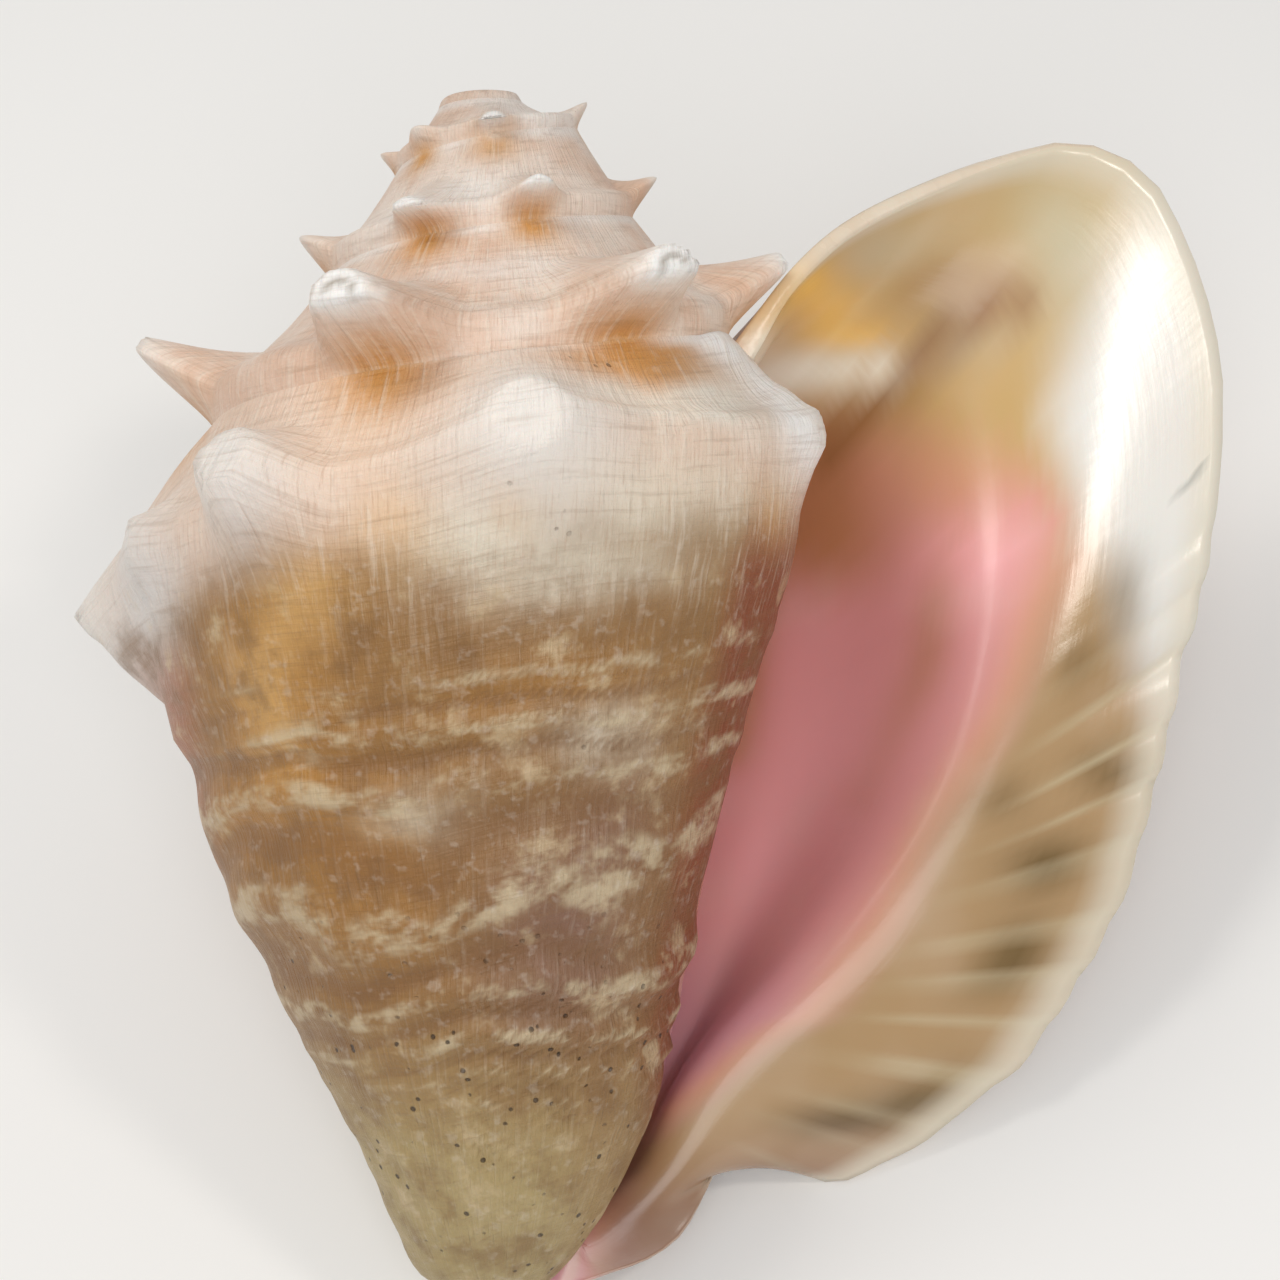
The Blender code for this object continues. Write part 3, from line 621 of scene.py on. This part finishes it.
    # lighter pink where the throat faces the light: the lining's own pink with painted highlight
    zones["throat_pink_and_highlight"] = inside * np.clip(
        patch(soft_x, soft_z, 94, 144, 10, 10, -25) + 0.9 * patch(soft_x, soft_z, 66, 102, 9, 24, -22)
        + 0.8 * patch(soft_x, soft_z, 52, 76, 8, 14, -20), 0, 1)
    zones["throat_mauve"] = inside * (1 - ease(soft_z, 44, 74)) * 0.9
    zones["throat_peach"] = inside * np.clip(
        patch(soft_x, soft_z, 84, 162, 14, 10, -35) + patch(soft_x, soft_z, 98, 168, 12, 12, -30)
        + 0.9 * np.exp(-((soft_x - roll_x) / 6.0) ** 2), 0, 1)
    zones["lobe_gold"] = lip * ease(soft_z + 0.35 * (soft_x - 60), 166, 184)
    zones["lobe_pale"] = lip * np.clip(
        patch(soft_x, soft_z, 112, 206, 12, 18, 10) + 0.7 * patch(soft_x, soft_z, 74, 206, 12, 6, 25)
        + 0.8 * patch(soft_x, soft_z, 90, 188, 9, 5, 30), 0, 1)
    zones["lobe_honey"] = lip * np.clip(patch(soft_x, soft_z, 62, 196, 9, 6)
                                        + 0.8 * patch(soft_x, soft_z, 70, 188, 10, 4)
                                        + 0.6 * patch(soft_x, soft_z, 50, 186, 5, 5), 0, 1)
    # painted shade along the fold on the upper lip, on the low side of its step
    fold = [(100, 197), (90, 190), (78, 178), (66, 166)]
    zones["fold_painted_shade"] = lip * np.clip(0.8 * band(soft_x, soft_z, fold, 4.5)
                                        + 0.5 * patch(soft_x, soft_z, 88, 200, 12, 6, 20), 0, 1)
    # the cream shelf under the upper lobe, lightened with a painted highlight where it faces up
    zones["shelf_cream_and_highlight"] = lip * band(soft_x, soft_z, [(52, 181), (62, 182), (75, 182)], 4.6)
    zones["lip_sand"] = beyond * (1 - ease(soft_z, 150, 172))
    zones["lip_white"] = lip * ease(soft_x - white_x, -6, 10) * ease(soft_z, 84, 120)
    zones["lip_olive"] = lip * ease(soft_x - roll_x, 2, 12) * np.clip(
        0.9 * patch(soft_x, soft_z, 106, 83, 9, 5, 20) + 0.9 * patch(soft_x, soft_z, 98, 65, 9, 6, 25)
        + 0.7 * patch(soft_x, soft_z, 120, 103, 8, 5) + 0.5 * patch(soft_x, soft_z, 112, 124, 6, 6)
        + 0.9 * patch(soft_x, soft_z, 78, 38, 13, 6, 20) + 0.8 * patch(soft_x, soft_z, 62, 34, 9, 4)
        + 0.5 * patch(soft_x, soft_z, 96, 96, 6, 5) + 0.5 * patch(soft_x, soft_z, 122, 136, 5, 9), 0, 1)
    scallop = ease(scallop_wave(share), 0.0, 0.9) * ease(share, 0.42, 0.52)
    uneven = 0.45 + 0.35 * wave_noise(soft_x / 9, soft_z / 9, 19.0)
    zones["scallop_cream"] = lip * ease(u, 0.72, 0.92) * scallop * uneven
    crack = [(126, 158), (129, 163.4), (136, 164.6), (139, 160.4), (134, 157)]
    zones["crack"] = lined * 0.8 * band(x + 0.6 * wave_noise(x / 2, z / 2, 20.0), z, crack, 0.5)
    free_edge = ease(share, 0.02, 0.06) * (1 - ease(share, 0.86, 0.9))
    zones["edge_cream"] = lined * ease(u, 0.93, 0.99) * free_edge * 0.8
    # the lining's lower end at the canal, dark brown: its own colour with painted shade
    zones["canal_brown_and_shade"] = lined * (1 - ease(soft_z, 14, 40)) * ease(x, 10, 24) * 0.8
    zones["inside"] = np.where(inside, 1.0, np.where(side == 0.5, 0.7, 0.0))
    upper = np.where(turn < 4, 1.0, 0.25 + 0.75 * ease(z, 126, 146))
    zones["lines"] = outside * upper * (1 - 0.8 * spine_white) * (1 - sawn)
    zones["worn"] = outside * last * flank * (1 - ease(z, 128, 150))
    zones["pits"] = outside * last * front * np.clip(
        1.6 * patch(x, z, 14, 150, 7, 3.5) + patch(x, z, 24, 110, 7, 2) + 0.8 * patch(x, z, 26, 175, 12, 2)
        + 0.8 * (1 - ease(z, 60, 88)), 0, 1)
    return zones


# Among these layers, the one along the body's left edge is painted warm reflection and shade.
LAYERS = [
    ("flank_tan", "#956D3C"), ("flank_gold", "#AA7630"), ("flank_dusk", "#87624C"),
    ("tip_olive", "#B39D6C"), ("left_edge_reflection_and_shade", "#A4633C"), ("flank_cream", "#E6DAC2"),
    ("flank_honey", "#DCAE6C"), ("mouth_rust", "#84441F"), ("ramp_pink", "#EACDB6"),
    ("ramp_amber", "#C99154"), ("ramp_cream", "#F2E9DA"), ("spire_cream", "#F3EDE6"),
    ("suture_white", "#F3E9E0"), ("lip_back_tan", "#C08F66"), ("under_amber", "#D09448"),
    ("spine_white", "#EFE8DF"), ("callus_white", "#F5F1EC"), ("knob_grey", "#DDD6D0"),
    ("sawn_white", "#F7F4EF"), ("sawn_ring", "#B9B1A6"),
]
# Among these lining layers are painted shade in the throat, along the fold and at the canal, and painted
# highlight on the throat's pink and on the shelf.
INNER_LAYERS = [
    ("throat_painted_shade", "#C48860"), ("throat_pink_and_highlight", "#FFB8BA"), ("throat_mauve", "#D79CA8"),
    ("throat_peach", "#E0A586"), ("lobe_gold", "#D0AE74"), ("lobe_pale", "#CFC3A2"),
    ("lobe_honey", "#FFD06E"), ("fold_painted_shade", "#996A3E"), ("shelf_cream_and_highlight", "#FFFBE6"),
    ("lip_sand", "#B9976C"), ("lip_white", "#EFECE4"), ("lip_olive", "#6C5429"),
    ("scallop_cream", "#D2C29E"), ("canal_brown_and_shade", "#805646"), ("edge_cream", "#E4DBC6"),
    ("crack", "#8C938C"),
]


def linear(code):
    """sRGB hex code to the linear colour that a shader socket takes."""
    parts = [int(code[n:n + 2], 16) / 255 for n in (1, 3, 5)]
    return tuple(p / 12.92 if p <= 0.04045 else ((p + 0.055) / 1.055) ** 2.4 for p in parts) + (1.0,)


def add(tree, kind, inputs=(), **settings):
    """Adds a node of a kind with its settings, and sets or links each input,
    given as (name, value or socket)."""
    node = tree.nodes.new(kind)
    for name, value in settings.items():
        setattr(node, name, value)
    for name, value in inputs:
        if isinstance(value, bpy.types.NodeSocket):
            tree.links.new(value, node.inputs[name])
        else:
            node.inputs[name].default_value = value
    return node


def mixed(tree, factor, low, high, blend="MIX"):
    """Colour low turned into colour high by factor."""
    node = add(tree, "ShaderNodeMix", data_type="RGBA", blend_type=blend)
    for socket, value in ((node.inputs[0], factor), (node.inputs[6], low), (node.inputs[7], high)):
        if isinstance(value, bpy.types.NodeSocket):
            tree.links.new(value, socket)
        else:
            socket.default_value = value
    return node.outputs[2]


def number_of(tree, operation, first, second=0.0, third=0.0, clamp=False):
    """One Math node, its inputs numbers or sockets."""
    node = add(tree, "ShaderNodeMath", operation=operation, use_clamp=clamp)
    for socket, value in zip(node.inputs, (first, second, third)):
        if isinstance(value, bpy.types.NodeSocket):
            tree.links.new(value, socket)
        else:
            socket.default_value = value
    return node.outputs[0]


def ramp_of(tree, value, low, high):
    """value mapped so that low gives 0 and high gives 1, smooth and clamped."""
    node = add(tree, "ShaderNodeMapRange", [("Value", value), ("From Min", low), ("From Max", high)],
               interpolation_type="SMOOTHSTEP")
    return node.outputs["Result"]


def shell_material():
    """Grown shell lime: a chalky, finely lined outside that sun and sand have worn, and a glossy
    porcelain lining. Zones that follow the shell give the colours, painted shade, painted highlight and
    painted reflection among them; lines of growth, blotches, pits and crests are noise over the way
    round (coil.x), the way down (coil.y) and the object's own space, at their real sizes."""
    material = bpy.data.materials.new("shell_lime")
    material.use_nodes = True
    tree = material.node_tree
    principled = tree.nodes["Principled BSDF"]

    def attribute(name, output="Fac"):
        return add(tree, "ShaderNodeAttribute", attribute_name=name).outputs[output]

    place = add(tree, "ShaderNodeTexCoord").outputs["Object"]
    coil_place = attribute("coil", "Vector")
    inside = attribute("inside")

    def noise(vector, scale, detail=3.0, roughness=0.55, stretch=None):
        if stretch:
            vector = add(tree, "ShaderNodeMapping", [("Vector", vector), ("Scale", stretch)]).outputs[0]
        node = add(tree, "ShaderNodeTexNoise", [("Vector", vector), ("Scale", scale), ("Detail", detail),
                                                ("Roughness", roughness)])
        return node.outputs["Fac"]

    blotch = noise(place, 60.0)
    speckle = noise(place, 420.0, 2.0)
    growth = noise(coil_place, 1.0, 4.0, 0.62, (0.75, 0.07, 1.0))
    hair = noise(coil_place, 1.0, 3.0, 0.6, (2.4, 0.16, 1.0))
    spiral = noise(coil_place, 1.0, 3.0, 0.6, (0.05, 0.75, 1.0))

    outer = mixed(tree, ramp_of(tree, blotch, 0.35, 0.65), linear("#E0BDA4"), linear("#EBD8C8"))
    for name, code in LAYERS:
        outer = mixed(tree, attribute(name), outer, linear(code))
    lining = linear("#EAA3A2")
    for name, code in INNER_LAYERS:
        lining = mixed(tree, attribute(name), lining, linear(code))

    line_share = number_of(tree, "MULTIPLY", attribute("lines"), ramp_of(tree, growth, 0.50, 0.66))
    outer = mixed(tree, number_of(tree, "MULTIPLY", line_share, 0.35), outer, linear("#F0E2CF"))
    hair_share = number_of(tree, "MULTIPLY", attribute("lines"), ramp_of(tree, hair, 0.52, 0.70))
    outer = mixed(tree, number_of(tree, "MULTIPLY", hair_share, 0.26), outer, linear("#A9703F"))
    worn = attribute("worn")
    patches = noise(place, 95.0, 4.0, 0.62)
    dark = number_of(tree, "MULTIPLY", worn, ramp_of(tree, patches, 0.55, 0.30))
    outer = mixed(tree, number_of(tree, "MULTIPLY", dark, 0.6), outer, linear("#7F5A30"))
    pale = number_of(tree, "MULTIPLY", worn, ramp_of(tree, patches, 0.55, 0.72))
    outer = mixed(tree, number_of(tree, "MULTIPLY", pale, 0.6), outer, linear("#D8C19A"))
    # crests turned cream: the ridges' paler colour with painted highlight
    crest = ramp_of(tree, attribute("crest"), 0.15, 0.85)
    broken = noise(coil_place, 1.0, 3.0, 0.6, (0.09, 0.16, 1.0))
    crest = number_of(tree, "MULTIPLY", crest, ramp_of(tree, broken, 0.40, 0.64))
    outer = mixed(tree, number_of(tree, "MULTIPLY", crest, 0.72), outer, linear("#D2BF9C"))
    # grooves darkened: painted shade
    groove = ramp_of(tree, attribute("crest"), -0.2, -0.9)
    outer = mixed(tree, number_of(tree, "MULTIPLY", groove, 0.45), outer, linear("#7E5630"))
    spiral_share = number_of(tree, "MULTIPLY", ramp_of(tree, spiral, 0.50, 0.72), 0.22)
    outer = mixed(tree, spiral_share, outer, linear("#8E6A44"))
    pit_cells = add(tree, "ShaderNodeTexVoronoi", [("Vector", place), ("Scale", 330.0), ("Randomness", 1.0)])
    pit = ramp_of(tree, pit_cells.outputs["Distance"], 0.20, 0.10)
    pit = number_of(tree, "MULTIPLY", pit, ramp_of(tree, noise(place, 150.0, 2.0), 0.50, 0.56))
    pit = number_of(tree, "MULTIPLY", pit, attribute("pits"))
    outer = mixed(tree, pit, outer, linear("#33241A"))
    speckle_share = number_of(tree, "MULTIPLY", ramp_of(tree, speckle, 0.55, 0.75), 0.15)
    outer = mixed(tree, speckle_share, outer, linear("#F5EBDD"))

    streak = noise(place, 34.0, 2.0)
    streak_share = number_of(tree, "MULTIPLY", ramp_of(tree, streak, 0.45, 0.7), 0.12)
    lining = mixed(tree, streak_share, lining, linear("#F0D9C6"))
    colour = mixed(tree, inside, outer, lining)
    tree.links.new(colour, principled.inputs["Base Color"])

    dull = number_of(tree, "MULTIPLY_ADD", blotch, 0.25, 0.30)
    gloss = number_of(tree, "MULTIPLY_ADD", streak, 0.08, 0.17)
    rough = add(tree, "ShaderNodeMix", data_type="FLOAT")
    for socket, value in zip(rough.inputs[:1] + rough.inputs[2:4], (inside, dull, gloss)):
        tree.links.new(value, socket)
    tree.links.new(rough.outputs[0], principled.inputs["Roughness"])
    principled.inputs["Subsurface Weight"].default_value = 0.08
    principled.inputs["Subsurface Radius"].default_value = (1.0, 0.5, 0.35)
    principled.inputs["Subsurface Scale"].default_value = 0.003

    relief = number_of(tree, "MULTIPLY_ADD", growth, 0.55, number_of(tree, "MULTIPLY", speckle, 0.25))
    relief = number_of(tree, "MULTIPLY_ADD", spiral, 0.35, relief)
    relief = number_of(tree, "MULTIPLY_ADD", pit, -0.8, relief)
    relief = number_of(tree, "MULTIPLY", relief, number_of(tree, "MULTIPLY_ADD", inside, -0.94, 1.0))
    bump = add(tree, "ShaderNodeBump", [("Height", relief), ("Strength", 0.85), ("Distance", 0.0012)])
    tree.links.new(bump.outputs[0], principled.inputs["Normal"])
    return material


def ridge_tint_and_shading_of(field):
    """The ridges of body_relief on the outside of the last whorl: cream on the crests with painted highlight,
    and painted shade in the grooves.
    """
    turn, share = field[..., 0], field[..., 1]
    flank = ridged(turn, share) * (field[..., 3] < 0.4)
    return flank * ridge_wave(field[..., 4], field[..., 6]) * (1 - ease(turn, 4.80, 4.97))


def make_shell():
    """The finished shell in the CAD's frame, as one mesh with its colour zones on the face corners."""
    points, faces, field = knit_shell(grow_shell(WHORL_COLUMNS, LIP_COLUMNS, BARE_ROWS, FLANK_ROWS))
    laid = lay_down(points) * MM
    coarse_low, coarse_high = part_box("conch_shell")
    lowest, highest = laid.min(axis=0), laid.max(axis=0)
    shift = (np.array(coarse_low) + np.array(coarse_high)) / 2 - (lowest + highest) / 2
    shift[2] = -lowest[2]
    laid += shift
    kept = faces != np.roll(faces, 1, axis=1)
    whole = kept.sum(axis=1) > 2
    faces, kept, field = faces[whole], kept[whole], field[whole]
    sizes = kept.sum(axis=1)
    corners = faces[kept]
    mesh = bpy.data.meshes.new("conch")
    mesh.vertices.add(len(laid))
    mesh.vertices.foreach_set("co", laid.ravel())
    mesh.loops.add(len(corners))
    mesh.loops.foreach_set("vertex_index", corners)
    mesh.polygons.add(len(sizes))
    mesh.polygons.foreach_set("loop_start", np.concatenate([[0], np.cumsum(sizes)[:-1]]))
    mesh.update(calc_edges=True)
    mesh.shade_smooth()
    at_corners = field[kept]
    zones = colour_zones(at_corners)
    zones["crest"] = ridge_tint_and_shading_of(at_corners)
    for name, value in zones.items():
        mesh.attributes.new(name, "FLOAT", "CORNER").data.foreach_set("value", value.astype(np.float32))
    way_round, side = at_corners[:, 0] * GIRTH, at_corners[:, 3] * SIDE_GAP
    coil_place = np.stack([way_round, at_corners[:, 2], side], axis=-1)
    spot = mesh.attributes.new("coil", "FLOAT_VECTOR", "CORNER")
    spot.data.foreach_set("vector", coil_place.astype(np.float32).ravel())
    shell = bpy.data.objects.new("conch", mesh)
    bpy.context.scene.collection.objects.link(shell)
    mesh.materials.append(shell_material())
    return shell, shift


shell, shift = make_shell()
print("triangles", sum(len(p.vertices) - 2 for p in shell.data.polygons))
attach(shell, "root")
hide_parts("conch_shell")

level = Vector(RESTING_PLANE).rotation_difference(Vector((0.0, 0.0, -1.0))).to_matrix().to_4x4()
camera = bpy.data.objects.new("camera", bpy.data.cameras.new("camera"))
camera.data.sensor_width = SENSOR_WIDTH
camera.data.lens = CAMERA_LENS
camera.data.clip_start = 0.01
camera.matrix_world = Matrix.Translation(shift) @ level @ Matrix.Translation(CAMERA_PLACE)
bpy.context.scene.collection.objects.link(camera)
bpy.context.scene.camera = camera


def floor_piece():
    """A plain pale table top at the height the shell rests on."""
    mesh = bpy.data.meshes.new("floor")
    half = FLOOR_SIZE / 2
    corners = [(-half, -half, 0), (half, -half, 0), (half, half, 0), (-half, half, 0)]
    mesh.from_pydata(corners, [], [(0, 1, 2, 3)])
    floor = bpy.data.objects.new("floor", mesh)
    bpy.context.scene.collection.objects.link(floor)
    paint = bpy.data.materials.new("pale_top")
    paint.use_nodes = True
    paint.node_tree.nodes["Principled BSDF"].inputs["Base Color"].default_value = linear("#F4F3F0")
    paint.node_tree.nodes["Principled BSDF"].inputs["Roughness"].default_value = 0.85
    mesh.materials.append(paint)
    return floor


floor_piece()


def soft_light(name, place, aim, size, power, colour="#FFFFFF"):
    """A square area light at place, turned to aim."""
    lamp = bpy.data.lights.new(name, "AREA")
    lamp.size = size
    lamp.energy = power
    lamp.color = linear(colour)[:3]
    thing = bpy.data.objects.new(name, lamp)
    way = Vector(aim) - Vector(place)
    thing.matrix_world = Matrix.Translation(place) @ way.to_track_quat("-Z", "Y").to_matrix().to_4x4()
    bpy.context.scene.collection.objects.link(thing)


soft_light("window", (-0.52, 0.26, 0.92), (0, 0, 0.06), 0.40, 3.3, "#FFFCF6")
soft_light("lamp", (0.48, -0.07, 0.78), (0.06, 0, 0.08), 0.10, 1.0, "#FFF9F0")
soft_light("fill", (0.12, -0.62, 0.85), (0.03, 0, 0.05), 0.6, 3.5, "#FBFCFF")
world = bpy.data.worlds.new("studio")
world.use_nodes = True
world.node_tree.nodes["Background"].inputs["Color"].default_value = linear("#F6F7FA")
world.node_tree.nodes["Background"].inputs["Strength"].default_value = 0.46
bpy.context.scene.world = world
bpy.context.scene.view_settings.view_transform = "Standard"
